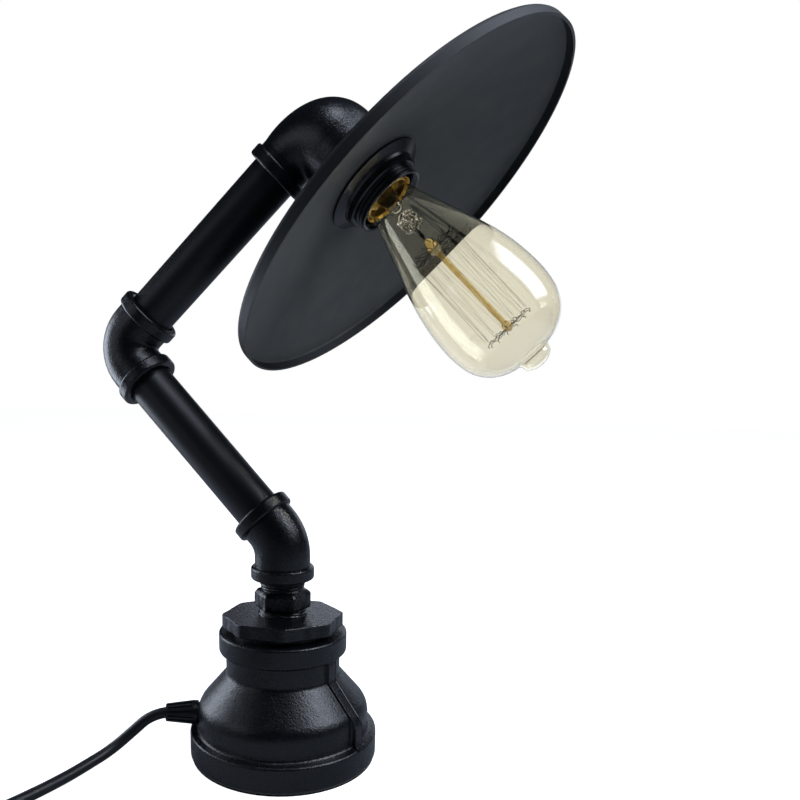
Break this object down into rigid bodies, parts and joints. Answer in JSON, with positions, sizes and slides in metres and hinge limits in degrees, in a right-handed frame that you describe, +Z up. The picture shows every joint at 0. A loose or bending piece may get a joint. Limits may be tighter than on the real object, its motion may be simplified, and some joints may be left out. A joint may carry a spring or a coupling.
{
  "type": "pipe table lamp",
  "caption": "Table lamp built from black pipe fittings with turning elbows, a wide shallow shade, a bare filament bulb, and a cord with inline switch and plug.",
  "frame": {"origin": "centre of the foot's underside", "axes": "+Z up, the lamp's head leans towards +X, the cord leaves towards -X and -Y"},
  "size_m": [0.2626, 0.4381, 0.389],
  "materials": {
    "cast_black": "satin black paint over cast iron",
    "pipe_black": "satin black paint",
    "shade_black": "smooth matte black paint",
    "felt": "foam rubber",
    "steel": "plated",
    "brass": "bright",
    "black_plastic": "satin moulded",
    "cord_black": "smooth flexible sheath",
    "ceramic": "unglazed ceramic",
    "glass": "clear, faintly amber"
  },
  "bodies": {
    "stand": {"foot_pad": "felt", "base_plate": "shade_black", "base_plate_screws": "steel", "base_socket": "cast_black", "octagon_bush": "cast_black", "hex_nipple": "cast_black", "cord_relief": "cord_black", "relief_locknut": "black_plastic", "base_lead": "cord_black", "riser_lead": "cord_black", "terminal_block": "black_plastic", "earth_screw": "steel", "earth_lug": "steel", "cord_lead": "cord_black", "cord_link": "cord_black", "cord_coil": "cord_black", "cord_tail": "cord_black", "coil_tie": "cord_black", "switch_lower": "black_plastic", "switch_upper": "black_plastic", "switch_screws": "steel", "switch_contacts": "steel", "plug_body": "black_plastic", "plug_pins": "brass", "plug_earth_clips": "steel"},
    "lower_arm": {"lower_elbow": "cast_black", "lower_pipe": "pipe_black", "lower_lead": "cord_black"},
    "upper_arm": {"middle_elbow": "cast_black", "upper_pipe": "pipe_black", "upper_lead": "cord_black"},
    "head": {"head_elbow": "cast_black", "holder_cap": "black_plastic", "holder_sleeve": "black_plastic", "holder_core": "ceramic", "holder_screws": "steel", "holder_shell": "brass", "centre_contact": "brass", "shade_ring": "black_plastic", "shade": "shade_black", "head_lead": "cord_black"},
    "bulb": {"bulb_glass": "glass", "bulb_cap": "brass", "bulb_insulator": "black_plastic", "bulb_contact": "brass", "bulb_stem": "glass", "bulb_rod": "brass", "bulb_supports": "steel", "bulb_filament": "steel", "bulb_leads": "steel"},
    "rocker": {"switch_rocker": "black_plastic"}
  },
  "joints": [
    {"name": "base_swivel", "type": "hinge", "parent": "stand", "child": "lower_arm", "pos_m": [0, 0, 0.1315], "axis": [0, 0, 1], "range_deg": [-150, 150]},
    {"name": "arm_turn", "type": "hinge", "parent": "lower_arm", "child": "upper_arm", "pos_m": [-0.1079, 0, 0.2394], "axis": [-0.7071, 0, 0.7071], "range_deg": [-60, 60]},
    {"name": "head_turn", "type": "hinge", "parent": "upper_arm", "child": "head", "pos_m": [0.01004, 0.02717, 0.35735], "axis": [0.6979, 0.1607, 0.6979], "range_deg": [-90, 90]},
    {"name": "bulb_turn", "type": "hinge", "parent": "head", "child": "bulb", "pos_m": [0.01004, 0.02717, 0.35735], "axis": [0.705, 0.0172, -0.709], "range_deg": [0, 360]},
    {"name": "switch_rock", "type": "hinge", "parent": "stand", "child": "rocker", "pos_m": [-0.10692, -0.17897, 0.0092], "axis": [0.9988, -0.0489, 0], "range_deg": [-22, 0]}
  ]
}
